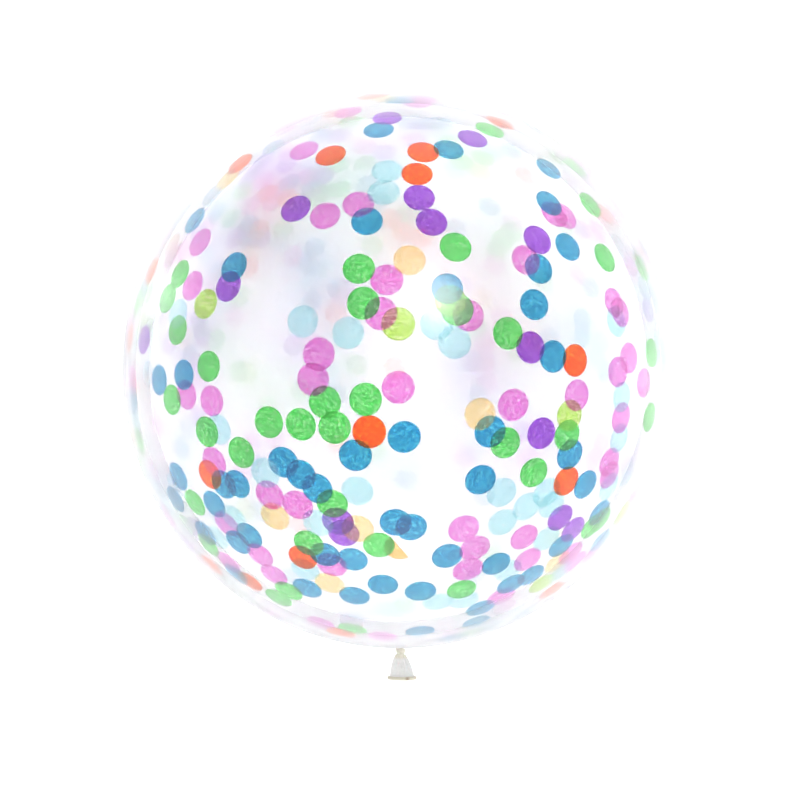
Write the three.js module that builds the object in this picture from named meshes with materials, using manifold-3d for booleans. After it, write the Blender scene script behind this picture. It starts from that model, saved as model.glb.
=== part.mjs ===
// A giant clear balloon, blown up to a metre across and tied off.
//
// It is one piece of latex: a nearly round envelope, a short neck gathered in fine pleats, an overhand
// knot, and the flared tail beyond the knot, which ends in the rolled lip of the balloon's mouth.
// The envelope is sealed, so it is a solid here. It lies on its side on a small flat spot.
//
// Millimetres, +Z up. The balloon's axis runs along Y, with the crown towards +Y and the tail towards -Y.
// The origin is the centre of the flat spot, straight below the middle of the envelope.

import * as THREE from 'three';
import { mergeVertices } from 'three/addons/utils/BufferGeometryUtils.js';
import Module from 'manifold-3d';

const wasm = await Module();
wasm.setup();

// Envelope
const WIDTH = 1000;
const LENGTH = 1012;
const FLAT_SPOT_RADIUS = 65;
const SIDES_AROUND = 64;
const RINGS_ALONG = 30;

// Neck: the round end draws in over the last stretch and is gathered where it enters the knot
const NECK_RADIUS = 6.5;
const NECK_TIP_RADIUS = 4;
const NECK_START_RADIUS = 70;
const NECK_END = 516;
const NECK_RINGS = 7;
const GATHER_COUNT = 16;
const GATHER_DEPTH = 1.5;

// Knot: a tight overhand knot in the neck, a little to one side of the axis
const KNOT_OFFSET = 3.8;
const KNOT_DISTANCE = 525;
const KNOT_LOOP_RADIUS = 5.6;
const KNOT_LOOP_DEPTH = 3;
const KNOT_CORE_RADIUS = 5;
const KNOT_ROLL = -0.3;
const STRAND_RADIUS = 4;
const STRAND_SIDES = 10;
const STRAND_STEPS = 8;

// Tail: a flattened, pleated tube that flares from the knot to the lip
const TAIL_START = 530;
const TAIL_ROOT_HALF_WIDTH = 6;
const TAIL_ROOT_HALF_DEPTH = 5.5;
const TAIL_END_HALF_WIDTH = 23;
const TAIL_END_HALF_DEPTH = 3.4;
const TAIL_FLARE_POWER = 0.5;
const TAIL_LEAN = 3;
const PLEAT_DEPTH = 1.3;
const PLEATS_ACROSS = 5;
const TAIL_SIDES = 44;
const TAIL_RINGS = 11;

// Lip: the rolled bead round the mouth, pressed nearly flat, with only a slit left open
const LIP_DISTANCE = 574.2;
const LIP_HALF_WIDTH = 24;
const LIP_HALF_DEPTH = 4.6;
const LIP_BEAD_RADIUS = 3.4;
const LIP_BEAD_STEPS = 7;
const LIP_WAVE = 1.6;
const SLIT_DEPTH = 16;
const SLIT_NARROWING = 0.7;

const RADIUS = WIDTH / 2;
const AXIS_HEIGHT = Math.sqrt(RADIUS ** 2 - FLAT_SPOT_RADIUS ** 2);
const TAIL_END = LIP_DISTANCE - LIP_BEAD_RADIUS;

// A closed geometry as a solid that can be joined and cut.
function toSolid(geometry) {
  geometry.deleteAttribute('normal');
  geometry.deleteAttribute('uv');
  const merged = mergeVertices(geometry, 1e-4);
  const corners = merged.index.array;
  const kept = [];
  for (let i = 0; i < corners.length; i += 3) {
    const [a, b, c] = corners.slice(i, i + 3);
    if (a !== b && b !== c && c !== a) kept.push(a, b, c);
  }
  return new wasm.Manifold(new wasm.Mesh({
    numProp: 3,
    vertProperties: new Float32Array(merged.attributes.position.array),
    triVerts: new Uint32Array(kept),
  }));
}

function toGeometry(solid) {
  const mesh = solid.getMesh();
  const geometry = new THREE.BufferGeometry();
  geometry.setAttribute('position', new THREE.BufferAttribute(mesh.vertProperties, 3));
  geometry.setIndex(new THREE.BufferAttribute(mesh.triVerts, 1));
  geometry.computeVertexNormals();
  return geometry;
}

// Moves every corner of a geometry to where `place` puts it, given the corner and its number.
function reshape(geometry, place) {
  const corners = geometry.attributes.position;
  const corner = new THREE.Vector3();
  for (let i = 0; i < corners.count; i += 1) {
    corner.fromBufferAttribute(corners, i);
    const moved = place(corner, i);
    corners.setXYZ(i, moved.x, moved.y, moved.z);
  }
  return geometry;
}

// Half of the envelope's outline, from the neck's closed end to the crown.
function envelopeProfile() {
  const joinAngle = -Math.acos(NECK_START_RADIUS / RADIUS);
  const body = new THREE.EllipseCurve(0, 0, RADIUS, LENGTH / 2, joinAngle, Math.PI / 2);
  const join = body.getPoint(0);
  const slope = body.getTangent(0);
  const neckEnd = new THREE.Vector2(NECK_RADIUS, -NECK_END);
  const reach = (NECK_RADIUS * 2 - join.x) / slope.x;
  const bend = join.clone().addScaledVector(slope, reach);
  const neck = new THREE.QuadraticBezierCurve(neckEnd, bend, join);
  const closedEnd = new THREE.Vector2(0, -KNOT_DISTANCE);
  const neckTip = new THREE.Vector2(NECK_TIP_RADIUS, -KNOT_DISTANCE);
  const neckPoints = [neckTip, ...neck.getPoints(NECK_RINGS).slice(0, -1)];
  const bodyPoints = body.getPoints(RINGS_ALONG).slice(0, -1);
  const crown = new THREE.Vector2(0, LENGTH / 2);
  return [closedEnd, ...neckPoints, ...bodyPoints, crown];
}

// The neck's pleats: ridges and grooves that run from the knot and die out on the round end.
function gathered(corner) {
  const distance = Math.hypot(corner.x, corner.z);
  const fade = Math.max(0, 1 - distance / NECK_START_RADIUS);
  if (corner.y > 0 || fade === 0) return corner;
  const ridge = Math.cos(GATHER_COUNT * Math.atan2(corner.x, corner.z));
  corner.y -= GATHER_DEPTH * ridge * fade * THREE.MathUtils.clamp(distance / NECK_RADIUS - 1, 0, 1);
  return corner;
}

function makeEnvelope() {
  const skin = new THREE.LatheGeometry(envelopeProfile(), SIDES_AROUND);
  return toSolid(reshape(skin, gathered));
}

// A point on the knot's centre line, a three-lobed loop that passes over and under itself.
class KnotCurve extends THREE.Curve {
  constructor(start, end) {
    super();
    this.start = start;
    this.end = end;
  }

  getPoint(t, target = new THREE.Vector3()) {
    const turn = this.start + (this.end - this.start) * t;
    const scale = KNOT_LOOP_RADIUS / 3;
    const across = scale * (Math.sin(turn) + 2 * Math.sin(2 * turn));
    const along = scale * (Math.cos(turn) - 2 * Math.cos(2 * turn));
    return target.set(across, along, -KNOT_LOOP_DEPTH * Math.sin(3 * turn));
  }
}

// The knot: its strand in three stretches that overlap at their ends, pulled tight round a core.
function makeKnot() {
  const section = new THREE.Shape().absarc(0, 0, STRAND_RADIUS, 0, 2 * Math.PI);
  const third = (2 * Math.PI) / 3;
  const overlap = 0.12;
  const stretches = [0, 1, 2].map((lobe) => {
    const path = new KnotCurve(lobe * third, (lobe + 1) * third + overlap);
    const strand = new THREE.ExtrudeGeometry(section, {
      steps: STRAND_STEPS,
      curveSegments: STRAND_SIDES,
      extrudePath: path,
      bevelEnabled: false,
    });
    strand.rotateZ(KNOT_ROLL);
    strand.translate(KNOT_OFFSET, -KNOT_DISTANCE, 0);
    return toSolid(strand);
  });
  const core = new THREE.SphereGeometry(KNOT_CORE_RADIUS, STRAND_SIDES, STRAND_SIDES / 2);
  core.translate(KNOT_OFFSET, -KNOT_DISTANCE, 0);
  return stretches.reduce((knot, stretch) => knot.add(stretch), toSolid(core));
}

// The tail's rings, from the closed end of the slit out over the lip and up the outside to the root.
// Each has half its width, half its depth, its distance from the middle of the envelope, and the share
// of the way from root to lip.
function tailRings() {
  const { lerp } = THREE.MathUtils;
  const slitEnd = LIP_DISTANCE - SLIT_DEPTH;
  const slitHalfWidth = LIP_HALF_WIDTH - LIP_BEAD_RADIUS;
  const slitHalfDepth = LIP_HALF_DEPTH - LIP_BEAD_RADIUS;
  const rings = [
    { width: 0, depth: 0, distance: slitEnd, share: 1 },
    { width: slitHalfWidth * SLIT_NARROWING, depth: slitHalfDepth, distance: slitEnd, share: 1 },
  ];
  for (let step = 0; step <= LIP_BEAD_STEPS; step += 1) {
    const turn = Math.PI * lerp(-1, 0.6, step / LIP_BEAD_STEPS);
    const proud = LIP_BEAD_RADIUS * Math.cos(turn);
    const distance = LIP_DISTANCE - LIP_BEAD_RADIUS * Math.sin(turn);
    rings.push({ width: LIP_HALF_WIDTH + proud, depth: LIP_HALF_DEPTH + proud, distance, share: 1 });
  }
  for (let step = TAIL_RINGS - 1; step >= 0; step -= 1) {
    const share = step / TAIL_RINGS;
    const width = lerp(TAIL_ROOT_HALF_WIDTH, TAIL_END_HALF_WIDTH, share ** TAIL_FLARE_POWER);
    const depth = lerp(TAIL_ROOT_HALF_DEPTH, TAIL_END_HALF_DEPTH, share);
    rings.push({ width, depth, distance: lerp(TAIL_START, TAIL_END, share), share });
  }
  rings.push({ width: 0, depth: 0, distance: TAIL_START, share: 0 });
  return rings;
}

// A corner of the flattened tail, `angle` round one of its rings from the +X edge.
function tailCorner(ring, angle) {
  const across = Math.cos(angle);
  const facing = Math.sin(angle);
  const ridge = Math.cos(Math.PI * PLEATS_ACROSS * across) * facing;
  const pleat = ring.width > 0 ? PLEAT_DEPTH * (1 - ring.share) * ridge : 0;
  const wave = LIP_WAVE * ring.share * Math.sin(1.3 + 2.6 * across * ring.width / LIP_HALF_WIDTH);
  return new THREE.Vector3(
    KNOT_OFFSET + TAIL_LEAN * ring.share + ring.width * across,
    -ring.distance,
    ring.depth * facing + pleat + wave,
  );
}

function makeTail() {
  const rings = tailRings();
  const profile = rings.map((ring) => new THREE.Vector2(ring.width, -ring.distance));
  const tube = new THREE.LatheGeometry(profile, TAIL_SIDES);
  return toSolid(reshape(tube, (corner, i) => {
    const column = Math.floor(i / rings.length) % TAIL_SIDES;
    return tailCorner(rings[i % rings.length], -2 * Math.PI * column / TAIL_SIDES);
  }));
}

// Everything below the floor, cut away to leave the flat spot.
function makeFloorCut() {
  const slab = new THREE.BoxGeometry(WIDTH, WIDTH, FLAT_SPOT_RADIUS);
  slab.translate(0, 0, -AXIS_HEIGHT - FLAT_SPOT_RADIUS / 2);
  return toSolid(slab);
}

function makeBalloon() {
  const latex = makeEnvelope().add(makeKnot()).add(makeTail());
  const lying = latex.subtract(makeFloorCut());
  const clearLatex = new THREE.MeshStandardMaterial({
    color: 0xf4f4f8,
    roughness: 0.12,
    metalness: 0,
    transparent: true,
    opacity: 0.35,
  });
  const balloon = new THREE.Mesh(toGeometry(lying), clearLatex);
  balloon.name = 'balloon';
  balloon.position.z = AXIS_HEIGHT;
  return balloon;
}

const part = new THREE.Group();
part.name = 'clear_confetti_balloon';
part.add(makeBalloon());

export default part;
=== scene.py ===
"""A giant clear balloon, blown up to a metre across, with circles of tissue paper inside it.

The balloon is one piece of latex: a nearly round envelope that has stretched until it is clear,
a gathered neck, an overhand knot, and the flared tail and rolled lip, which have hardly stretched
and stay milky. Circles of coloured tissue paper cling to the inside of the envelope. It lies on
its side on a small flat spot, with its crown towards +Y and its tail towards -Y. Metres, +Z up.
"""

import logging
import math
import random
from dataclasses import dataclass, field
from enum import Enum

import bpy
from mathutils import Matrix, Vector

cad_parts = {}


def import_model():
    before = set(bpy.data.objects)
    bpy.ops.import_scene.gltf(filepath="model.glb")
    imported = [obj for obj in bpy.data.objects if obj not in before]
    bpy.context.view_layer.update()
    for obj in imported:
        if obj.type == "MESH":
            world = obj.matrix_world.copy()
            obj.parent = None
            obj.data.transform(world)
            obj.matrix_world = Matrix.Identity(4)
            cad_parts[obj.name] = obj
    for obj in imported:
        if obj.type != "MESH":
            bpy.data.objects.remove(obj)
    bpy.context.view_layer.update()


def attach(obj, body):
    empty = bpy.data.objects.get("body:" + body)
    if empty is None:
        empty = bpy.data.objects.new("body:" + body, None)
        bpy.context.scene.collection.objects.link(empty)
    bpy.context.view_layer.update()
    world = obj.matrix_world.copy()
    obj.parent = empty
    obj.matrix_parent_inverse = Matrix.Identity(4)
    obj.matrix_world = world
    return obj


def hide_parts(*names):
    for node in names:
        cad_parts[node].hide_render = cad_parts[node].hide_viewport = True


log = logging.getLogger("balloon")

RADIUS = 0.5
HALF_LENGTH = 0.506
FLAT_SPOT_RADIUS = 0.065
AXIS_HEIGHT = math.sqrt(RADIUS**2 - FLAT_SPOT_RADIUS**2)
MIDDLE = Vector((0.0, 0.0, AXIS_HEIGHT))

WELD_DISTANCE = 1e-6
TOLERANCE = 1e-5

Colour = tuple[float, float, float]


def deselect_all() -> None:
    """Leaves no object selected."""
    bpy.ops.object.select_all(action="DESELECT")


def pick(piece: bpy.types.Object) -> None:
    """Makes a piece the only selected object and the active one.

    Args:
        piece: The piece.
    """
    deselect_all()
    piece.select_set(True)
    bpy.context.view_layer.objects.active = piece


def set_in_place(piece: bpy.types.Object) -> None:
    """Puts a piece's place, turn and scale into its mesh, so that it sits at the origin."""
    pick(piece)
    bpy.ops.object.transform_apply(location=True, rotation=True, scale=True)


def apply_modifiers(piece: bpy.types.Object) -> None:
    """Applies every modifier of a piece, in order.

    Args:
        piece: The piece.
    """
    pick(piece)
    for modifier in list(piece.modifiers):
        bpy.ops.object.modifier_apply(modifier=modifier.name)


def joined(pieces: list[bpy.types.Object], name: str) -> bpy.types.Object:
    """Joins pieces into one object.

    Args:
        pieces: The objects to join.
        name: The name of the joined object and its mesh.

    Returns:
        The joined object.
    """
    pick(pieces[0])
    for piece in pieces:
        piece.select_set(True)
    bpy.ops.object.join()
    pieces[0].name = name
    pieces[0].data.name = name
    return pieces[0]


def wall_point(longitude: float, latitude: float, depth: float = 0.0) -> Vector:
    """A point on the envelope.

    Args:
        longitude: Degrees round the balloon's axis, from the top towards +X.
        latitude: Degrees from the middle towards the crown.
        depth: How far inside the skin the point lies.

    Returns:
        The point.
    """
    lon, lat = math.radians(longitude), math.radians(latitude)
    across, along = RADIUS - depth, HALF_LENGTH - depth
    return MIDDLE + Vector(
        (
            across * math.cos(lat) * math.sin(lon),
            along * math.sin(lat),
            across * math.cos(lat) * math.cos(lon),
        )
    )


def wall_normal(point: Vector) -> Vector:
    """The direction in which the skin faces outwards at a point on it."""
    arm = point - MIDDLE
    return Vector((arm.x / RADIUS**2, arm.y / HALF_LENGTH**2, arm.z / RADIUS**2)).normalized()


# Finishes


@dataclass(frozen=True)
class ClearLatexFinish:
    """One side of thinly stretched latex: clear, with gloss, bloom or a softening haze."""

    name: str
    colour: Colour = (0.96, 0.96, 0.97)
    share: float = 0.9
    haze_roughness: float = 0.0
    bend: float = 1.0
    gloss: float = 0.0
    gloss_roughness: float = 0.25
    bloom: float = 0.0
    bloom_roughness: float = 0.4

    def material(self) -> bpy.types.Material:
        """Makes the finish.

        Returns:
            The material.
        """
        material = bpy.data.materials.new(self.name)
        material.use_nodes = True
        shader = material.node_tree.nodes["Principled BSDF"]
        shader.inputs["Base Color"].default_value = (*self.colour, 1.0)
        shader.inputs["Roughness"].default_value = self.haze_roughness
        shader.inputs["IOR"].default_value = self.bend
        shader.inputs["Transmission Weight"].default_value = 1.0
        shader.inputs["Alpha"].default_value = self.share
        shader.inputs["Coat Weight"].default_value = self.gloss
        shader.inputs["Coat Roughness"].default_value = self.gloss_roughness
        shader.inputs["Sheen Weight"].default_value = self.bloom
        shader.inputs["Sheen Roughness"].default_value = self.bloom_roughness
        return material


OUTER_LATEX = ClearLatexFinish("clear_latex", gloss=1.0, bloom=1.0, bloom_roughness=0.45)
INNER_LATEX = ClearLatexFinish("clear_latex_inside", share=0.88, haze_roughness=1.0, bend=1.1)


@dataclass(frozen=True)
class TissueFinish:
    """Thin see-through tissue paper in one colour, matt and mottled with fine fibres."""

    name: str
    colour: Colour
    fleck: Colour
    paper_share: float = 0.12
    fleck_size: float = 0.0040
    fleck_detail: float = 0.5
    fleck_contrast: float = 0.7
    colour_until: float = 0.4
    fleck_from: float = 0.75
    roughness: float = 0.9
    shine: float = 0.2

    @property
    def slot(self) -> str:
        """The record's material slot."""
        return f"{self.name}_tissue"

    def material(self) -> bpy.types.Material:
        """Makes the finish: the dyed paper scatters some light, and lets the rest through tinted.

        Returns:
            The material.
        """
        material = bpy.data.materials.new(self.slot)
        material.use_nodes = True
        nodes, links = material.node_tree.nodes, material.node_tree.links
        nodes.clear()
        place = nodes.new("ShaderNodeTexCoord")
        fibres = nodes.new("ShaderNodeTexNoise")
        fibres.inputs["Scale"].default_value = 1.0 / self.fleck_size
        fibres.inputs["Detail"].default_value = self.fleck_detail
        fibres.inputs["Roughness"].default_value = self.fleck_contrast
        dye = nodes.new("ShaderNodeValToRGB")
        dye.color_ramp.elements[0].position = self.colour_until
        dye.color_ramp.elements[0].color = (*self.colour, 1.0)
        dye.color_ramp.elements[1].position = self.fleck_from
        dye.color_ramp.elements[1].color = (*self.fleck, 1.0)
        through = nodes.new("ShaderNodeBsdfTransparent")
        paper = nodes.new("ShaderNodeBsdfPrincipled")
        paper.inputs["Roughness"].default_value = self.roughness
        paper.inputs["Specular IOR Level"].default_value = self.shine
        both = nodes.new("ShaderNodeMixShader")
        both.inputs["Fac"].default_value = self.paper_share
        output = nodes.new("ShaderNodeOutputMaterial")
        links.new(place.outputs["Object"], fibres.inputs["Vector"])
        links.new(fibres.outputs["Fac"], dye.inputs["Fac"])
        links.new(dye.outputs["Color"], through.inputs["Color"])
        links.new(dye.outputs["Color"], paper.inputs["Base Color"])
        links.new(through.outputs["BSDF"], both.inputs[1])
        links.new(paper.outputs["BSDF"], both.inputs[2])
        links.new(both.outputs["Shader"], output.inputs["Surface"])
        return material


class Tissue(Enum):
    """The colours of tissue paper in the balloon."""

    BLUE = TissueFinish("blue", (0.0, 0.49, 0.70), (0.30, 0.78, 0.88))
    SKY = TissueFinish("sky", (0.70, 0.91, 0.93), (0.86, 0.97, 0.97))
    PINK = TissueFinish("pink", (0.90, 0.40, 0.80), (0.96, 0.75, 0.92))
    GREEN = TissueFinish("green", (0.22, 0.79, 0.26), (0.60, 0.93, 0.57))
    LIME = TissueFinish("lime", (0.66, 0.87, 0.26), (0.90, 0.97, 0.66))
    VIOLET = TissueFinish("violet", (0.52, 0.17, 0.77), (0.74, 0.48, 0.90))
    ORANGE = TissueFinish("orange", (0.99, 0.22, 0.0), (1.0, 0.50, 0.10))
    CREAM = TissueFinish("cream", (0.99, 0.84, 0.54), (1.0, 0.94, 0.78))


LETTERS = {tissue.value.name[0]: tissue for tissue in Tissue if tissue is not Tissue.BLUE}
LETTERS["b"] = Tissue.BLUE


# The latex


@dataclass(frozen=True)
class SlackLatexFinish:
    """Latex that has hardly stretched: milky, creamier at the knot and darker on the lip."""

    name: str = "slack_latex"
    milky: Colour = (0.95, 0.94, 0.90)
    creamy: Colour = (0.90, 0.86, 0.72)
    lip: Colour = (0.76, 0.72, 0.56)
    # Painted shade: a dark brown round patch on the rolled lip, standing for the shadow of the
    # rolled bead, painted into the colour.
    painted_shade: Colour = (0.40, 0.30, 0.19)
    painted_shade_place: tuple[float, float, float] = (0.0165, -0.5745, AXIS_HEIGHT + 0.0075)
    painted_shade_radius: float = 0.0065
    knot_end: float = -0.5335
    knot_blend: float = 0.006
    lip_start: float = -0.5705
    lip_blend: float = 0.001
    cloud_size: float = 0.00625
    cloud_detail: float = 4.0
    cloud_shade: float = 0.93
    roughness: float = 0.38
    gloss: float = 0.35
    gloss_roughness: float = 0.15

    def band(
        self, material: bpy.types.Material, value: bpy.types.NodeSocket, low: float, high: float
    ) -> bpy.types.NodeSocket:
        """Adds a node that rises from 0 to 1 as a value goes from low to high.

        Args:
            material: The material that the node goes into.
            value: The socket with the value.
            low: Where the share is 0.
            high: Where the share is 1.

        Returns:
            The socket with the share.
        """
        node = material.node_tree.nodes.new("ShaderNodeMapRange")
        node.interpolation_type = "SMOOTHSTEP"
        node.inputs["From Min"].default_value = low
        node.inputs["From Max"].default_value = high
        material.node_tree.links.new(value, node.inputs["Value"])
        return node.outputs["Result"]

    def tinted(
        self,
        material: bpy.types.Material,
        share: bpy.types.NodeSocket,
        base: bpy.types.NodeSocket,
        colour: Colour,
    ) -> bpy.types.NodeSocket:
        """Adds a node that mixes a colour into another by a share.

        Args:
            material: The material that the node goes into.
            share: The socket with the share.
            base: The socket with the colour at a share of 0.
            colour: The colour at a share of 1.

        Returns:
            The socket with the mixed colour.
        """
        node = material.node_tree.nodes.new("ShaderNodeMix")
        node.data_type = "RGBA"
        node.inputs["B"].default_value = (*colour, 1.0)
        material.node_tree.links.new(share, node.inputs["Factor"])
        material.node_tree.links.new(base, node.inputs["A"])
        return node.outputs["Result"]

    def material(self) -> bpy.types.Material:
        """Makes the finish.

        Returns:
            The material.
        """
        material = bpy.data.materials.new(self.name)
        material.use_nodes = True
        nodes, links = material.node_tree.nodes, material.node_tree.links
        shader = nodes["Principled BSDF"]
        place = nodes.new("ShaderNodeTexCoord").outputs["Object"]
        axes = nodes.new("ShaderNodeSeparateXYZ")
        links.new(place, axes.inputs["Vector"])
        along = axes.outputs["Y"]
        cloud = nodes.new("ShaderNodeTexNoise")
        cloud.inputs["Scale"].default_value = 1.0 / self.cloud_size
        cloud.inputs["Detail"].default_value = self.cloud_detail
        links.new(place, cloud.inputs["Vector"])
        milk = nodes.new("ShaderNodeValToRGB")
        milk.color_ramp.elements[0].position = 0.3
        milk.color_ramp.elements[0].color = (*(self.cloud_shade * c for c in self.milky), 1.0)
        milk.color_ramp.elements[1].position = 0.7
        milk.color_ramp.elements[1].color = (*self.milky, 1.0)
        links.new(cloud.outputs["Fac"], milk.inputs["Fac"])
        near_knot = self.band(material, along, self.knot_end - self.knot_blend, self.knot_end)
        colour = self.tinted(material, near_knot, milk.outputs["Color"], self.creamy)
        on_lip = self.band(material, along, self.lip_start, self.lip_start - self.lip_blend)
        colour = self.tinted(material, on_lip, colour, self.lip)
        # Painted shade: darkens a round patch of the lip towards brown, for the shadow of the
        # rolled bead.
        painted_shade = nodes.new("ShaderNodeVectorMath")
        painted_shade.operation = "DISTANCE"
        painted_shade.inputs[1].default_value = self.painted_shade_place
        links.new(place, painted_shade.inputs[0])
        in_painted_shade = self.band(material, painted_shade.outputs["Value"], self.painted_shade_radius, 0.0)
        on_painted_shade = nodes.new("ShaderNodeMath")
        on_painted_shade.operation = "MULTIPLY"
        links.new(in_painted_shade, on_painted_shade.inputs[0])
        links.new(on_lip, on_painted_shade.inputs[1])
        colour = self.tinted(material, on_painted_shade.outputs["Value"], colour, self.painted_shade)
        links.new(colour, shader.inputs["Base Color"])
        shader.inputs["Roughness"].default_value = self.roughness
        shader.inputs["Coat Weight"].default_value = self.gloss
        shader.inputs["Coat Roughness"].default_value = self.gloss_roughness
        return material


@dataclass
class Envelope:
    """The blown-up part of the balloon: a thin closed skin that draws in to the gathered neck."""

    thickness: float = 0.0008
    sides_around: int = 160
    rings_along: int = 72
    neck_radius: float = 0.0065
    neck_start_radius: float = 0.07
    neck_end: float = 0.516
    neck_rings: int = 12
    gather_count: int = 16
    gather_depth: float = 0.0015
    slack_radius: float = 0.011
    outside: ClearLatexFinish = OUTER_LATEX
    inside: ClearLatexFinish = INNER_LATEX

    def profile(self) -> list[Vector]:
        """Works out half of the skin's outline.

        Returns:
            Points in the plane x-y from the crown to the neck's end, round the balloon's middle.
        """
        join = math.acos(self.neck_start_radius / RADIUS)
        turns = [
            math.pi / 2 - (math.pi / 2 + join) * step / self.rings_along
            for step in range(1, self.rings_along + 1)
        ]
        points = [Vector((RADIUS * math.cos(t), HALF_LENGTH * math.sin(t), 0)) for t in turns]
        start = points[-1]
        slope = Vector((-RADIUS * math.sin(join), -HALF_LENGTH * math.cos(join), 0))
        end = Vector((self.neck_radius, -self.neck_end, 0))
        bend = start + slope * ((self.neck_radius * 2 - start.x) / slope.x)
        for step in range(1, self.neck_rings + 1):
            t = step / self.neck_rings
            points.append(start.lerp(bend, t).lerp(bend.lerp(end, t), t))
        return points

    def spun(self) -> bpy.types.Object:
        """Draws the outline as a chain of edges and spins it round the axis.

        Returns:
            The skin, without a wall, round the origin.
        """
        deselect_all()
        bpy.ops.mesh.primitive_plane_add(size=0.01, location=(0, 0, 0))
        skin = bpy.context.object
        skin.name = "envelope"
        bpy.ops.object.mode_set(mode="EDIT")
        bpy.ops.mesh.select_all(action="SELECT")
        bpy.ops.mesh.merge(type="CENTER")
        place = Vector((0, HALF_LENGTH, 0))
        bpy.ops.transform.translate(value=place)
        for point in self.profile():
            bpy.ops.mesh.extrude_region_move(TRANSFORM_OT_translate={"value": point - place})
            place = point
        bpy.ops.mesh.select_all(action="SELECT")
        bpy.ops.mesh.spin(
            steps=self.sides_around, angle=2 * math.pi, center=(0, 0, 0), axis=(0, 1, 0)
        )
        bpy.ops.mesh.select_all(action="SELECT")
        bpy.ops.mesh.remove_doubles(threshold=WELD_DISTANCE)
        bpy.ops.mesh.normals_make_consistent(inside=False)
        bpy.ops.object.mode_set(mode="OBJECT")
        return skin

    def gather(self, skin: bpy.types.Object) -> None:
        """Pleats the skin where it draws in to the neck. The ridges die out on the round end.

        Args:
            skin: The skin, round the origin.
        """
        for corner in skin.data.vertices:
            distance = math.hypot(corner.co.x, corner.co.z)
            if corner.co.y > 0 or distance > self.neck_start_radius:
                continue
            ridge = math.cos(self.gather_count * math.atan2(corner.co.x, corner.co.z))
            fade = 1 - distance / self.neck_start_radius
            rise = min(1.0, max(0.0, distance / self.neck_radius - 1))
            corner.co.y -= self.gather_depth * ridge * fade * rise

    def press_flat(self, skin: bpy.types.Object) -> None:
        """Presses the part of the skin below the floor up to the floor, inside a clean edge.

        Args:
            skin: The skin, round the origin.
        """
        pick(skin)
        bpy.ops.object.mode_set(mode="EDIT")
        bpy.ops.mesh.select_all(action="SELECT")
        bpy.ops.mesh.bisect(plane_co=(0, 0, -AXIS_HEIGHT), plane_no=(0, 0, 1))
        bpy.ops.mesh.select_all(action="DESELECT")
        bpy.ops.object.mode_set(mode="OBJECT")
        for corner in skin.data.vertices:
            corner.select = corner.co.z < -AXIS_HEIGHT + TOLERANCE
        bpy.ops.object.mode_set(mode="EDIT")
        bpy.ops.transform.resize(value=(1, 1, 0), center_override=(0, 0, -AXIS_HEIGHT))
        bpy.ops.object.mode_set(mode="OBJECT")

    def build(self, slack: bpy.types.Material) -> bpy.types.Object:
        """Makes the envelope: spun, gathered, pressed flat where it lies, and given its wall.

        Args:
            slack: The finish of the last of the neck, which is as milky as the knot.

        Returns:
            The envelope.
        """
        envelope = self.spun()
        self.gather(envelope)
        self.press_flat(envelope)
        wall = envelope.modifiers.new("wall", "SOLIDIFY")
        wall.thickness = self.thickness
        wall.offset = -1.0
        wall.use_even_offset = True
        apply_modifiers(envelope)
        envelope.location = MIDDLE
        set_in_place(envelope)
        finishes = (self.outside.material(), self.inside.material(), slack)
        outer, inner, neck = range(len(finishes))
        for finish in finishes:
            envelope.data.materials.append(finish)
        for face in envelope.data.polygons:
            arm = face.center - MIDDLE
            in_neck = arm.y < 0 and math.hypot(arm.x, arm.z) < self.slack_radius
            side = inner if face.normal.dot(arm) < 0 else outer
            face.use_smooth = True
            face.material_index = neck if in_neck else side
        return envelope


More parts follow.
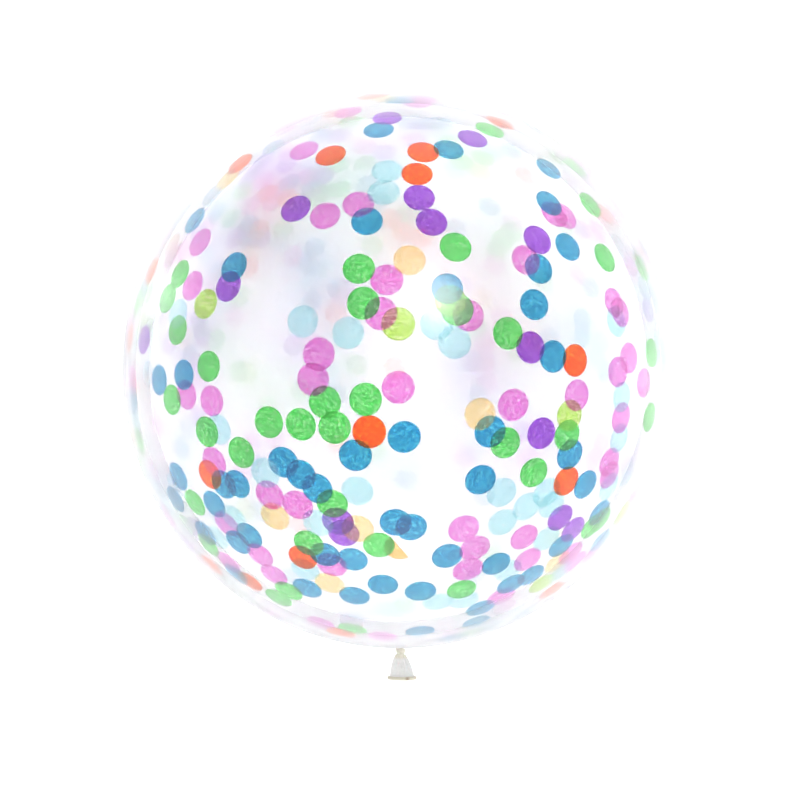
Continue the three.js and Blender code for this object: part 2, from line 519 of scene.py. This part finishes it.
@dataclass
class Knot:
    """A tight overhand knot in the neck, a little to one side of the axis."""

    offset: float = 0.0038
    distance: float = 0.525
    loop_radius: float = 0.0056
    loop_depth: float = 0.003
    core_radius: float = 0.005
    core_sides: int = 24
    roll: float = -0.3
    strand_radius: float = 0.004
    strand_sides: int = 6
    steps: int = 96
    neck_radius: float = 0.0062
    neck_sides: int = 32
    neck_length: float = 0.012
    neck_squeeze: float = 0.6

    def strand_point(self, turn: float) -> Vector:
        """A point on the strand's centre line, a three-lobed loop that crosses itself.

        Args:
            turn: How far along the loop the point is, from 0 to 2 pi.

        Returns:
            The point, round the origin.
        """
        scale = self.loop_radius / 3
        across = scale * (math.sin(turn) + 2 * math.sin(2 * turn))
        along = scale * (math.cos(turn) - 2 * math.cos(2 * turn))
        return Vector((across, along, -self.loop_depth * math.sin(3 * turn)))

    def strand(self) -> bpy.types.Object:
        """Draws the centre line as a closed chain of edges and gives it the strand's roundness.

        Returns:
            The strand, round the origin.
        """
        points = [self.strand_point(2 * math.pi * step / self.steps) for step in range(self.steps)]
        deselect_all()
        bpy.ops.mesh.primitive_plane_add(size=0.001, location=(0, 0, 0))
        strand = bpy.context.object
        bpy.ops.object.mode_set(mode="EDIT")
        bpy.ops.mesh.select_all(action="SELECT")
        bpy.ops.mesh.merge(type="CENTER")
        bpy.ops.transform.translate(value=points[0])
        place = points[0]
        for point in points[1:] + points[:1]:
            bpy.ops.mesh.extrude_region_move(TRANSFORM_OT_translate={"value": point - place})
            place = point
        bpy.ops.mesh.select_all(action="SELECT")
        bpy.ops.mesh.remove_doubles(threshold=WELD_DISTANCE)
        bpy.ops.object.mode_set(mode="OBJECT")
        bpy.ops.object.convert(target="CURVE")
        strand.data.bevel_depth = self.strand_radius
        strand.data.bevel_resolution = self.strand_sides
        bpy.ops.object.convert(target="MESH")
        return bpy.context.object

    def build(self) -> list[bpy.types.Object]:
        """Makes the knot's strand, its core, and the end of the neck that enters it.

        Returns:
            The three parts, in place.
        """
        strand = self.strand()
        strand.rotation_euler.z = self.roll
        centre = MIDDLE + Vector((self.offset, -self.distance, 0))
        strand.location = centre
        set_in_place(strand)
        deselect_all()
        bpy.ops.mesh.primitive_uv_sphere_add(
            segments=self.core_sides,
            ring_count=self.core_sides // 2,
            radius=self.core_radius,
            location=centre,
        )
        core = bpy.context.object
        set_in_place(core)
        deselect_all()
        bpy.ops.mesh.primitive_cylinder_add(
            vertices=self.neck_sides,
            radius=self.neck_radius,
            depth=self.neck_length,
            location=MIDDLE + Vector((0, -self.distance + self.neck_length / 2, 0)),
            rotation=(math.pi / 2, 0, 0),
        )
        neck = bpy.context.object
        set_in_place(neck)
        bpy.ops.object.mode_set(mode="EDIT")
        bpy.ops.mesh.select_all(action="DESELECT")
        bpy.ops.object.mode_set(mode="OBJECT")
        for corner in neck.data.vertices:
            corner.select = corner.co.y < -self.distance + TOLERANCE
        bpy.ops.object.mode_set(mode="EDIT")
        bpy.ops.transform.resize(
            value=(self.neck_squeeze, 1, self.neck_squeeze),
            center_override=MIDDLE + Vector((0, -self.distance, 0)),
        )
        bpy.ops.object.mode_set(mode="OBJECT")
        return [strand, core, neck]


@dataclass
class Tail:
    """The flattened, pleated tube beyond the knot, which flares to the rolled lip of the mouth."""

    offset: float = 0.0038
    start: float = 0.530
    root_half_width: float = 0.006
    root_half_depth: float = 0.0055
    end_half_width: float = 0.023
    end_half_depth: float = 0.0034
    flare_power: float = 0.5
    lean: float = 0.003
    pleat_depth: float = 0.0013
    pleats_across: int = 5
    fold_depth: float = 0.0005
    folds_across: int = 11
    fold_sway: float = 1.5
    fold_sway_turns: float = 5.0
    sides: int = 168
    rings: int = 60
    lip_distance: float = 0.5742
    lip_half_width: float = 0.024
    lip_half_depth: float = 0.0046
    bead_radius: float = 0.0034
    bead_turn: float = 1.6
    bead_steps: int = 18
    lip_wave: float = 0.0016
    lip_wave_start: float = 1.3
    lip_wave_spread: float = 2.6
    slit_depth: float = 0.016
    slit_narrowing: float = 0.7

    def outline(self) -> list[tuple[float, float, float, float]]:
        """Works out the rings from the slit's closed end, out over the lip, and up to the root.

        Returns:
            For each ring half of its width, half of its depth, its distance from the middle of the
            balloon, and the share of the way from root to lip.
        """
        slit_end = self.lip_distance - self.slit_depth
        slit_width = self.lip_half_width - self.bead_radius
        slit_depth = self.lip_half_depth - self.bead_radius
        rings = [(0.0, 0.0, slit_end, 1.0)]
        rings.append((slit_width * self.slit_narrowing, slit_depth, slit_end, 1.0))
        for step in range(self.bead_steps + 1):
            turn = math.pi * (self.bead_turn * step / self.bead_steps - 1)
            proud = self.bead_radius * math.cos(turn)
            distance = self.lip_distance - self.bead_radius * math.sin(turn)
            rings.append((self.lip_half_width + proud, self.lip_half_depth + proud, distance, 1.0))
        end = self.lip_distance - self.bead_radius
        for step in range(self.rings - 1, -1, -1):
            share = step / self.rings
            spread = share**self.flare_power
            width = self.root_half_width + (self.end_half_width - self.root_half_width) * spread
            depth = self.root_half_depth + (self.end_half_depth - self.root_half_depth) * share
            rings.append((width, depth, self.start + (end - self.start) * share, share))
        rings.append((0.0, 0.0, self.start, 0.0))
        return rings

    def corner(self, ring: tuple[float, float, float, float], angle: float) -> Vector:
        """A point on the tail.

        Args:
            ring: The ring, as outline gives it.
            angle: How far round the ring the point is, from the +X edge.

        Returns:
            The point.
        """
        width, depth, distance, share = ring
        across, facing = math.cos(angle), math.sin(angle)
        pleat = self.pleat_depth * (1 - share) * math.cos(math.pi * self.pleats_across * across)
        fold = self.fold_depth * math.sin(math.pi * share) ** 0.5
        sway = self.fold_sway * math.sin(self.fold_sway_turns * share)
        fold *= math.cos(math.pi * self.folds_across * across + sway)
        ridge = (pleat + fold) * facing if width > 0 and share < 1 else 0.0
        reach = self.lip_wave_spread * across * width / self.lip_half_width
        wave = self.lip_wave * share * math.sin(self.lip_wave_start + reach)
        return MIDDLE + Vector(
            (
                self.offset + self.lean * share + width * across,
                -distance,
                depth * facing + ridge + wave,
            )
        )

    def build(self) -> bpy.types.Object:
        """Wraps a grid round the rings and closes its seam.

        Returns:
            The tail, in place.
        """
        rings = self.outline()
        deselect_all()
        bpy.ops.mesh.primitive_grid_add(
            x_subdivisions=self.sides, y_subdivisions=len(rings) - 1, size=2
        )
        tail = bpy.context.object
        for corner in tail.data.vertices:
            ring = rings[round((corner.co.y + 1) / 2 * (len(rings) - 1))]
            corner.co = self.corner(ring, -math.pi * corner.co.x)
        bpy.ops.object.mode_set(mode="EDIT")
        bpy.ops.mesh.select_all(action="SELECT")
        bpy.ops.mesh.remove_doubles(threshold=WELD_DISTANCE)
        bpy.ops.mesh.normals_make_consistent(inside=False)
        bpy.ops.object.mode_set(mode="OBJECT")
        return tail


@dataclass
class TiedEnd:
    """Everything slack beyond the neck, as one solid: the knot with the tail growing out of it."""

    voxel: float = 0.0004
    smoothing: int = 4
    knot: Knot = field(default_factory=Knot)
    tail: Tail = field(default_factory=Tail)

    def build(self, slack: bpy.types.Material) -> bpy.types.Object:
        """Fuses the knot and the tail.

        Args:
            slack: The finish.

        Returns:
            The tied end.
        """
        tied = joined([self.tail.build(), *self.knot.build()], "knot_and_tail")
        fused = tied.modifiers.new("fused", "REMESH")
        fused.mode = "VOXEL"
        fused.voxel_size = self.voxel
        eased = tied.modifiers.new("eased", "SMOOTH")
        eased.factor = 0.5
        eased.iterations = self.smoothing
        apply_modifiers(tied)
        for face in tied.data.polygons:
            face.use_smooth = True
        tied.data.materials.clear()
        tied.data.materials.append(slack)
        return tied


# The confetti


@dataclass(frozen=True)
class Trail:
    """Circles of paper that lie in a row on the skin, evenly spaced from one end to the other.

    Each letter of colours is one circle, by the first letter of its colour. start and end are
    degrees of longitude and latitude. bow is how far the row's middle swings to the left.
    """

    colours: str
    start: tuple[float, float]
    end: tuple[float, float] | None = None
    bow: float = 0.0

    def places(self) -> list[tuple[Tissue, float, float]]:
        """Works out where each circle lies.

        Returns:
            The colour, longitude and latitude of each circle.
        """
        count = len(self.colours)
        end = self.end or self.start
        squeeze = math.cos(math.radians((self.start[1] + end[1]) / 2))
        run = Vector(((end[0] - self.start[0]) * squeeze, end[1] - self.start[1]))
        side = Vector((-run.y, run.x)).normalized() * self.bow
        found = []
        for i, letter in enumerate(self.colours):
            share = i / max(count - 1, 1)
            swing = side * (4 * share * (1 - share))
            lon = self.start[0] + (run.x * share + swing.x) / squeeze
            found.append((LETTERS[letter], lon, self.start[1] + run.y * share + swing.y))
        return found


UPPER_TRAILS = (
    Trail("ocbp", (-14, 67), (7.5, 61.5)),
    Trail("p", (-18, 57)),
    Trail("vb", (-3.5, 53.5), (-5.5, 49)),
    Trail("po", (-24.5, 43.5), (-16.5, 41.5)),
    Trail("oovvg", (6, 42), (10.5, 21), bow=-3.5),
    Trail("bvgo", (12.5, 43), (36, 54.5)),
    Trail("ss", (-2.5, 37), (-3, 32)),
    Trail("vpp", (-21, 29), (-8, 29.5), bow=-2),
    Trail("b", (-6, 26)),
    Trail("c", (2, 18.5)),
    Trail("gp", (-7, 17), (-2, 15)),
    Trail("gpl", (-6, 11), (0, 7.5)),
    Trail("oc", (-44.5, 42), (-45, 38)),
    Trail("s", (-60, 40)),
    Trail("bp", (-49, 28.5), (-43.5, 23.5)),
    Trail("gp", (-47, 17.5), (-42, 15)),
    Trail("gl", (-49.5, 13), (-37.5, 11.5)),
    Trail("sg", (-45, 10), (-44.5, 7)),
    Trail("bv", (-32, 18), (-32.5, 14.5)),
    Trail("osg", (-61, 19), (-65, 13)),
    Trail("ov", (-67, 6), (-57, 5.5)),
    Trail("b", (39.5, 40)),
    Trail("gg", (54.5, 42.5), (47.5, 32)),
    Trail("bpp", (33.5, 31), (36.5, 28.5), bow=-1.5),
    Trail("vb", (27.5, 23), (34.5, 22)),
    Trail("pb", (24, 19), (26.5, 17.5)),
    Trail("gg", (44.5, 20.5), (59.5, 19.5)),
)

MIDDLE_TRAILS = (
    Trail("ss", (-16.5, 8), (-8.5, 6)),
    Trail("blgp", (8.5, 13.5), (12, 9), bow=-1),
    Trail("ss", (6.5, 7.5), (9.5, 4.5)),
    Trail("ppg", (-13.5, 2.5), (-12.5, -5.5), bow=-1.5),
    Trail("gp", (-5.5, -5), (0, -3)),
    Trail("gggob", (-23, -9), (1, -11.3), bow=0.4),
    Trail("b", (-7.5, -14.5)),
    Trail("gvbo", (19, 6), (32.5, 1.5), bow=-1),
    Trail("b", (24.5, 11)),
    Trail("bb", (-50, -2), (-42, -1)),
    Trail("gp", (-46, -5.5), (-41.5, -4.5)),
    Trail("gp", (-35.5, 0.5), (-35, -5.5)),
    Trail("pbsg", (-63.5, -2), (-65, -14)),
    Trail("gs", (-37, -11), (-34, -10.5)),
    Trail("gp", (-29.5, -14.5), (-36.5, -16.5)),
    Trail("obb", (-38.5, -19), (-32, -20.5), bow=-1),
    Trail("pps", (44, 12), (44, 8.5), bow=1.5),
    Trail("pp", (47, 2), (43.5, -0.5)),
    Trail("gp", (56, 3), (52.5, -2.5)),
    Trail("sps", (45, -5), (46, -12.5)),
    Trail("pps", (44.5, -17), (47, -22)),
    Trail("g", (56.5, -9)),
    Trail("plgb", (33, -4.5), (33, -15), bow=-1.5),
    Trail("cv", (14, -7.5), (26, -11)),
    Trail("bg", (16, -10.5), (19, -12.5)),
    Trail("p", (20, -6)),
    Trail("bg", (15, -19), (25.5, -18)),
    Trail("ob", (33.5, -20), (39, -21)),
)

LOWER_TRAILS = (
    Trail("ss", (19.5, -21.5), (25.5, -24.5)),
    Trail("ss", (29.5, -22), (31.5, -24.5)),
    Trail("vv", (35, -27.5), (40.5, -30.5)),
    Trail("bgg", (47.5, -27.5), (47, -30.5), bow=2),
    Trail("lb", (59, -28.5), (55, -34.5)),
    Trail("ppp", (13, -28.5), (16, -38), bow=1.5),
    Trail("bb", (10.5, -34.5), (22.5, -37)),
    Trail("spp", (21, -27.5), (30.5, -36.5), bow=1.5),
    Trail("sbpp", (33.5, -32), (50, -39.5), bow=0.5),
    Trail("cs", (41.5, -38.5), (46.5, -41.5)),
    Trail("blo", (34.5, -41), (50, -47.5), bow=-0.5),
    Trail("sbpb", (26.5, -39), (25, -50.5), bow=3),
    Trail("b", (27.5, -56)),
    Trail("spc", (-25, -18), (-25, -26.5)),
    Trail("bbbg", (-21, -16), (-12.5, -23.5), bow=0.5),
    Trail("sp", (-7.5, -21), (-19.5, -24)),
    Trail("svc", (-16, -27.5), (-8, -28.5), bow=1),
    Trail("v", (-11, -29.5)),
    Trail("bb", (-0.5, -27), (2.5, -28)),
    Trail("g", (-4, -32)),
    Trail("gb", (-19, -32), (-16, -34.5)),
    Trail("op", (-21.5, -35.5), (-15, -37)),
    Trail("b", (-10, -35.5)),
    Trail("sc", (-22, -38.5), (-17, -42)),
    Trail("bbb", (-11.5, -45.5), (5.5, -43.5), bow=3),
    Trail("sg", (10.5, -47), (16, -43.5)),
    Trail("s", (18, -47)),
    Trail("gb", (-30, -45), (-24, -44)),
    Trail("pp", (-32.5, -35.5), (-31.5, -40.5)),
    Trail("sbb", (-35.5, -27.5), (-37.5, -33), bow=3),
    Trail("p", (-38.5, -29)),
    Trail("bgb", (-49, -20), (-40, -25), bow=-3),
    Trail("b", (-54, -25)),
    Trail("sbg", (-44, -32.5), (-50, -35), bow=-2),
    Trail("pbo", (-46, -39), (-43, -44), bow=-2),
    Trail("g", (-36, -48)),
    Trail("po", (-28, -56.5), (-24, -61.5)),
    Trail("gp", (-17, -58.5), (-6.5, -62)),
    Trail("b", (8, -59)),
    Trail("b", (26, -65)),
)

RIM_TRAILS = (
    Trail("p", (-66, -30)),
    Trail("o", (-57, -41)),
    Trail("p", (62, -25)),
    Trail("p", (57, -38)),
    Trail("ps", (12, 65), (18, 68)),
    Trail("p", (50, 62)),
)

UNDER_UPPER_TRAILS = (
    Trail("vb", (217, 67), (228, 66)),
    Trail("g", (220, 73)),
    Trail("pv", (198, 63.5), (187, 62)),
    Trail("ggsv", (195, 58), (231, 54.5)),
    Trail("p", (235, 58.5)),
    Trail("vvv", (245, 54), (244, 48.5)),
    Trail("bpv", (224, 49.5), (211, 52.5), bow=-1),
    Trail("pg", (236, 49), (242, 45)),
    Trail("op", (230, 45.5), (234, 41.5)),
    Trail("po", (226, 43.5), (221, 45)),
    Trail("bg", (213, 48), (210, 46)),
    Trail("gg", (208, 47.5), (202, 49)),
    Trail("bb", (192, 51), (187, 45.5)),
    Trail("bgb", (247, 38), (231, 36.5)),
    Trail("vbv", (233.5, 32.5), (224, 33)),
    Trail("og", (226, 35.5), (217.5, 36)),
    Trail("s", (217, 32)),
    Trail("co", (226, 29), (225, 25.5)),
    Trail("b", (235, 24)),
    Trail("pb", (211.5, 29), (205.5, 31.5)),
    Trail("bs", (206, 27), (202, 26)),
    Trail("sb", (205, 22.5), (204, 17.5)),
    Trail("bv", (197, 21), (195, 20.5)),
    Trail("po", (195.5, 18.5), (197, 14.5)),
    Trail("g", (188, 32.5)),
    Trail("pg", (226, 13), (225.5, 18)),
    Trail("s", (230.5, 16)),
    Trail("p", (236, 20.5)),
    Trail("vbv", (238, 12), (236, 8)),
    Trail("g", (231, 7)),
    Trail("cv", (242, 7), (248, 6)),
    Trail("vps", (208, 6), (197.5, 7)),
    Trail("b", (240, 3)),
    Trail("sp", (242, 27), (254, 27)),
    Trail("pv", (247, 34), (250, 32)),
    Trail("v", (253, 13)),
    Trail("bvbb", (172, 74), (145, 73)),
    Trail("p", (171, 66.5)),
    Trail("ss", (177, 58.5), (157, 54.5)),
    Trail("gg", (151, 57.5), (139.5, 58)),
    Trail("co", (145, 53.5), (126, 50.5)),
    Trail("sb", (132, 60), (121, 58.5)),
    Trail("g", (150, 65)),
    Trail("bp", (148, 43), (142, 38)),
    Trail("gggp", (143.5, 35.5), (151.5, 27), bow=1.5),
    Trail("b", (162, 37)),
    Trail("gb", (177, 42), (174, 42)),
    Trail("ooo", (182.5, 40.5), (173, 35), bow=1.5),
    Trail("ovc", (167.5, 24.5), (157, 18)),
    Trail("gp", (159, 10.5), (152, 13)),
    Trail("pp", (157, 6.5), (157, 2)),
    Trail("vs", (160.5, 2), (163, 2)),
    Trail("gp", (137.5, 22), (126, 23)),
    Trail("b", (122, 19.5)),
    Trail("bb", (127.5, 12), (128, 8)),
    Trail("bog", (138.5, 7.5), (148.5, 4.5), bow=1),
    Trail("ss", (121.5, 6.5), (123.5, 3)),
    Trail("gvp", (124, 35), (109.5, 32.5)),
    Trail("ss", (117, 27), (103, 28.5)),
    Trail("p", (101, 23.5)),
    Trail("o", (100, 36)),
    Trail("sv", (98, 18), (99, 13)),
)

UNDER_LOWER_TRAILS = (
    Trail("gl", (223.5, -0.5), (221, -1)),
    Trail("go", (191, 1), (181, 0.5)),
    Trail("b", (258, -1)),
    Trail("pv", (236.5, -2.5), (238, 1)),
    Trail("s", (198, -1)),
    Trail("gb", (206, -5.5), (196.5, -6.5)),
    Trail("g", (215.5, -9.5)),
    Trail("vs", (238, -11.5), (243, -14)),
    Trail("p", (255.5, -12.5)),
    Trail("b", (247, -18.5)),
    Trail("pp", (214.5, -17), (222, -18.5)),
    Trail("og", (197, -19), (186, -21.5)),
    Trail("bp", (222.5, -23), (226.5, -25)),
    Trail("b", (178, -29)),
    Trail("bl", (226, -36), (230.5, -35)),
    Trail("o", (213.5, -41)),
    Trail("bv", (244, -36), (259, -37)),
    Trail("b", (229, -56)),
    Trail("sb", (190, -71), (220, -74)),
    Trail("pb", (156.5, -3.5), (159, -6.5)),
    Trail("vvs", (145.5, -15.5), (134, -17)),
    Trail("sp", (158.5, -20.5), (161, -22.5)),
    Trail("p", (142.5, -22.5)),
    Trail("pp", (119, -17), (120, -21.5)),
    Trail("b", (153.5, -33)),
    Trail("vb", (105, -21.5), (103, -24)),
    Trail("g", (144, -48.5)),
    Trail("c", (122, -42)),
    Trail("bp", (145, -57.5), (157, -51)),
    Trail("gs", (176, -69.5), (183, -72)),
    Trail("b", (120.5, -1)),
)

ALL_TRAILS = (
    UPPER_TRAILS,
    MIDDLE_TRAILS,
    LOWER_TRAILS,
    RIM_TRAILS,
    UNDER_UPPER_TRAILS,
    UNDER_LOWER_TRAILS,
)


@dataclass
class Confetti:
    """The circles of tissue paper inside the skin, joined into one piece for each colour."""

    diameter: float = 0.0487
    thickness: float = 0.0001
    sides: int = 24
    depth: float = 0.0012
    layer_gap: float = 0.00022
    clearance: float = 1.02
    unevenness: float = 0.03
    scattered: int = 80
    seed: int = 11
    sides_from: float = -0.2
    sides_to: float = 0.34
    side_longitudes: tuple[float, float] = (40.0, 140.0)
    side_reach: float = 0.97
    trail_lengths: tuple[int, ...] = (1, 1, 2, 3)
    trail_spacing: float = 5.0
    last_latitude: float = 80.0
    shares: str = "bbbbbbssssppppppggggglvvooc"
    folded_place: tuple[float, float] = (0.3, -32.45)
    folded_turn: float = -56.4

    def sheet(self) -> bpy.types.Object:
        """Makes one circle, curved to lie against the skin, with its middle at the origin.

        Returns:
            The circle, facing +Z and without thickness.
        """
        deselect_all()
        bpy.ops.mesh.primitive_circle_add(
            vertices=self.sides, radius=self.diameter / 2, fill_type="TRIFAN", location=(0, 0, 0)
        )
        circle = bpy.context.object
        for corner in circle.data.vertices:
            corner.co.z = -corner.co.xy.length_squared / (2 * RADIUS)
        return circle

    def template(self) -> bpy.types.Object:
        """Makes a whole circle.

        Returns:
            The circle, facing +Z, with a smooth face and a crisp edge.
        """
        circle = self.sheet()
        bpy.ops.object.mode_set(mode="EDIT")
        self.thicken()
        for face in circle.data.polygons:
            face.use_smooth = abs(face.normal.z) > 0.5
        return circle

    def half(self) -> bpy.types.Object:
        """Makes a circle folded in two: half of the whole one, with its fold through the origin.

        Returns:
            The folded circle, facing +Z, with its fold along X and the rest towards -Y.
        """
        folded = self.sheet()
        bpy.ops.object.mode_set(mode="EDIT")
        bpy.ops.mesh.select_all(action="DESELECT")
        bpy.ops.object.mode_set(mode="OBJECT")
        for corner in folded.data.vertices:
            corner.select = corner.co.y > TOLERANCE
        bpy.ops.object.mode_set(mode="EDIT")
        bpy.ops.mesh.delete(type="VERT")
        self.thicken()
        return folded

    def thicken(self) -> None:
        """Gives the sheet in edit mode its thickness, and goes back to object mode."""
        bpy.ops.mesh.select_all(action="SELECT")
        bpy.ops.mesh.extrude_region_move(TRANSFORM_OT_translate={"value": (0, 0, -self.thickness)})
        bpy.ops.mesh.select_all(action="SELECT")
        bpy.ops.mesh.normals_make_consistent(inside=False)
        bpy.ops.object.mode_set(mode="OBJECT")

    def scatter(self, taken: list[Vector]) -> list[tuple[Tissue, float, float]]:
        """Scatters short trails round the sides of the balloon, between the top and the underside.

        Args:
            taken: The places of the circles listed in the trails. The scattered ones are added to
                it.

        Returns:
            The colour, longitude and latitude of each circle.
        """
        rng = random.Random(self.seed)
        found: list[tuple[Tissue, float, float]] = []
        while len(found) < self.scattered:
            lat = math.degrees(math.asin(rng.uniform(-self.side_reach, self.side_reach)))
            lon = rng.choice((-1, 1)) * rng.uniform(*self.side_longitudes)
            count = rng.choice(self.trail_lengths)
            letters = "".join(rng.choice(self.shares) for _ in range(count))
            heading = rng.uniform(0, 2 * math.pi)
            reach = self.trail_spacing * (count - 1)
            end = (
                lon + reach * math.cos(heading) / math.cos(math.radians(lat)),
                lat + reach * math.sin(heading),
            )
            for tissue, a, b in Trail(letters, (lon, lat), end, rng.uniform(-1, 1)).places():
                point = wall_point(a, b)
                height = (point.z - AXIS_HEIGHT) / RADIUS
                crowded = sum((point - other).length < self.diameter for other in taken) > 1
                at_side = self.sides_from < height < self.sides_to
                if crowded or abs(b) > self.last_latitude or not at_side:
                    continue
                taken.append(point)
                found.append((tissue, a, b))
        return found

    def lie(self, lon: float, lat: float) -> tuple[Vector, Vector]:
        """Finds how a circle lies against the skin, which is flat where the balloon rests.

        Args:
            lon: The circle's longitude in degrees.
            lat: Its latitude in degrees.

        Returns:
            The point on the skin and the direction in which the skin faces there.
        """
        spot = wall_point(lon, lat)
        if spot.z < 0:
            return Vector((spot.x, spot.y, 0.0)), Vector((0.0, 0.0, -1.0))
        return spot, wall_normal(spot)

    def lay(
        self,
        template: bpy.types.Object,
        lon: float,
        lat: float,
        turned: Matrix,
        layers: list[tuple[Vector, int]],
    ) -> bpy.types.Object:
        """Lays a copy of a circle against the skin, or on those that already lie there.

        Args:
            template: The circle, round the origin and facing +Z.
            lon: Its longitude in degrees.
            lat: Its latitude in degrees.
            turned: How the circle is turned and sized in its own plane.
            layers: The place and the layer of every circle laid so far. This one is added to it.

        Returns:
            The copy.
        """
        spot, normal = self.lie(lon, lat)
        near = self.diameter * self.clearance
        under = [layer for place, layer in layers if (place - spot).length < near]
        layer = 1 + max(under, default=-1)
        layers.append((spot, layer))
        depth = self.depth + layer * self.layer_gap
        facing = normal.to_track_quat("Z", "Y").to_matrix().to_4x4()
        piece = bpy.data.objects.new("circle", template.data.copy())
        piece.data.transform(Matrix.Translation(spot - normal * depth) @ facing @ turned)
        bpy.context.scene.collection.objects.link(piece)
        return piece

    def build(self) -> list[bpy.types.Object]:
        """Lays every circle on the skin, later over earlier, and joins those of one colour.

        Returns:
            The pieces, one for each colour.
        """
        template = self.template()
        laid = [place for trails in ALL_TRAILS for trail in trails for place in trail.places()]
        taken = [wall_point(lon, lat) for _, lon, lat in laid]
        log.info("%d circles laid by hand", len(laid))
        laid += self.scatter(list(taken))
        rng = random.Random(self.seed + 1)
        least, most = 1 - self.unevenness, 1 + self.unevenness
        layers: list[tuple[Vector, int]] = []
        heaps: dict[Tissue, list[bpy.types.Object]] = {tissue: [] for tissue in Tissue}
        for tissue, lon, lat in laid:
            spin = Matrix.Rotation(rng.uniform(0, 2 * math.pi), 4, "Z")
            size = Matrix.Diagonal((rng.uniform(least, most), rng.uniform(least, most), 1, 1))
            heaps[tissue].append(self.lay(template, lon, lat, spin @ size, layers))
        folded = self.half()
        spin = Matrix.Rotation(math.radians(self.folded_turn), 4, "Z")
        for _ in range(2):
            heaps[Tissue.CREAM].append(self.lay(folded, *self.folded_place, spin, layers))
        bpy.data.objects.remove(folded)
        bpy.data.objects.remove(template)
        pieces = []
        for tissue, heap in heaps.items():
            finish = tissue.value
            piece = joined(heap, f"confetti_{finish.name}")
            piece.data.materials.append(finish.material())
            pieces.append(piece)
            log.info("%s: %d circles", piece.name, len(heap))
        return pieces


# The studio


@dataclass(frozen=True)
class Softbox:
    """A soft light: where it hangs, where it points, its size and its radiance."""

    name: str
    place: tuple[float, float, float]
    target: tuple[float, float, float]
    width: float
    height: float
    radiance: float

    def build(self) -> None:
        """Hangs the light."""
        bpy.ops.object.light_add(type="AREA", location=self.place)
        lamp = bpy.context.object
        lamp.name = self.name
        lamp.data.shape = "RECTANGLE"
        lamp.data.size = self.width
        lamp.data.size_y = self.height
        lamp.data.energy = self.radiance * math.pi * self.width * self.height
        aim = Vector(self.target) - Vector(self.place)
        lamp.rotation_euler = aim.to_track_quat("-Z", "Y").to_euler()
        lamp.visible_camera = False


@dataclass
class Studio:
    """A pale floor, soft light from all round, and a camera that looks straight down.

    The camera's shift slides the balloon in the frame without turning the camera.
    """

    floor_size: float = 80.0
    floor_colour: Colour = (0.9, 0.9, 0.9)
    floor_roughness: float = 0.9
    floor_glow: float = 0.44
    sky_colour: Colour = (0.93, 0.93, 0.96)
    sky_strength: float = 0.82
    clear_bounces: int = 64
    camera_distance: float = 2.25
    lens: float = 54.45
    shift_x: float = 0.0021
    shift_y: float = -0.0386
    softboxes: tuple[Softbox, ...] = (
        Softbox("key_softbox", (0, -3.2, 1.9), (0, -0.8, 0.3), 3.4, 1.4, 1.8),
        Softbox("glow_softbox", (0.64, 1.15, 3.0), (0, 0, 0.9), 0.7, 0.7, 25.0),
        Softbox("strip_left", (-1.5, 0.45, 0.1), (-0.4, 0.2, 0.6), 0.2, 1.1, 3.0),
        Softbox("strip_right", (1.4, 0.0, 0.1), (0.4, 0, 0.6), 0.2, 0.8, 1.5),
    )

    def floor(self) -> None:
        """Lays the floor, a pale sheet that glows a little."""
        bpy.ops.mesh.primitive_grid_add(
            x_subdivisions=8, y_subdivisions=8, size=self.floor_size, location=(0, 0, 0)
        )
        floor = bpy.context.object
        floor.name = "floor"
        material = bpy.data.materials.new("pale_floor")
        material.use_nodes = True
        shader = material.node_tree.nodes["Principled BSDF"]
        shader.inputs["Base Color"].default_value = (*self.floor_colour, 1.0)
        shader.inputs["Roughness"].default_value = self.floor_roughness
        shader.inputs["Emission Color"].default_value = (1.0, 1.0, 1.0, 1.0)
        shader.inputs["Emission Strength"].default_value = self.floor_glow
        floor.data.materials.append(material)

    def sky(self) -> None:
        """Surrounds the scene with soft, even light."""
        world = bpy.data.worlds.new("soft_sky")
        world.use_nodes = True
        background = world.node_tree.nodes["Background"]
        background.inputs["Color"].default_value = (*self.sky_colour, 1.0)
        background.inputs["Strength"].default_value = self.sky_strength
        bpy.context.scene.world = world

    def camera(self) -> None:
        """Sets up the camera straight above the balloon's middle, with the crown up in view."""
        bpy.ops.object.camera_add(location=MIDDLE + Vector((0, 0, self.camera_distance)))
        camera = bpy.context.object
        camera.rotation_euler = (0, 0, 0)
        camera.data.lens = self.lens
        camera.data.shift_x = self.shift_x
        camera.data.shift_y = self.shift_y
        bpy.context.scene.camera = camera

    def build(self) -> None:
        """Builds the whole studio."""
        self.floor()
        self.sky()
        for softbox in self.softboxes:
            softbox.build()
        self.camera()
        scene = bpy.context.scene
        scene.view_settings.view_transform = "Standard"
        scene.cycles.transparent_max_bounces = self.clear_bounces


def main() -> None:
    """Builds the balloon and its studio, piece by piece."""
    logging.basicConfig(level=logging.INFO, format="%(name)s: %(message)s")
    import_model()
    slack = SlackLatexFinish().material()
    envelope = Envelope().build(slack)
    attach(envelope, "root")
    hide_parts("balloon")
    log.info("envelope: %d faces", len(envelope.data.polygons))
    tied_end = TiedEnd().build(slack)
    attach(tied_end, "root")
    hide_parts("balloon")
    log.info("knot and tail: %d faces", len(tied_end.data.polygons))
    for piece in Confetti().build():
        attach(piece, "root")
    Studio().build()


if __name__ == "__main__":
    main()
